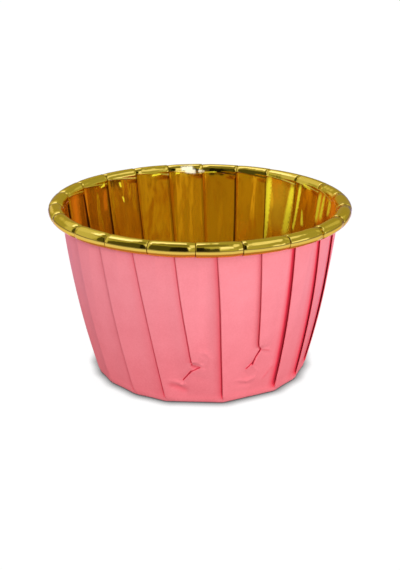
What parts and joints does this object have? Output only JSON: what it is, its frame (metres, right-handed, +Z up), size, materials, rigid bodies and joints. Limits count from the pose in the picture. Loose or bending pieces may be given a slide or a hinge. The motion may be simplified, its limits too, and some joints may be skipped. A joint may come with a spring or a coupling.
{
  "type": "cupcake liner",
  "caption": "Round baking cup pressed from one sheet of foil lined paper, with a pleated tapered wall, a flat base and a rim rolled outwards.",
  "frame": {"origin": "middle of the underside of the base, which is also the middle of the bounding box's bottom", "axes": "+Z up along the cup's axis, out of its mouth; -Y towards the viewer of the picture, where the crumpled pleats are"},
  "size_m": [0.0678, 0.0678, 0.039],
  "materials": {
    "sheet": "matt pink paper outside, laminated with bright gold foil inside"
  },
  "bodies": {
    "root": {"liner": "sheet"}
  },
  "joints": []
}
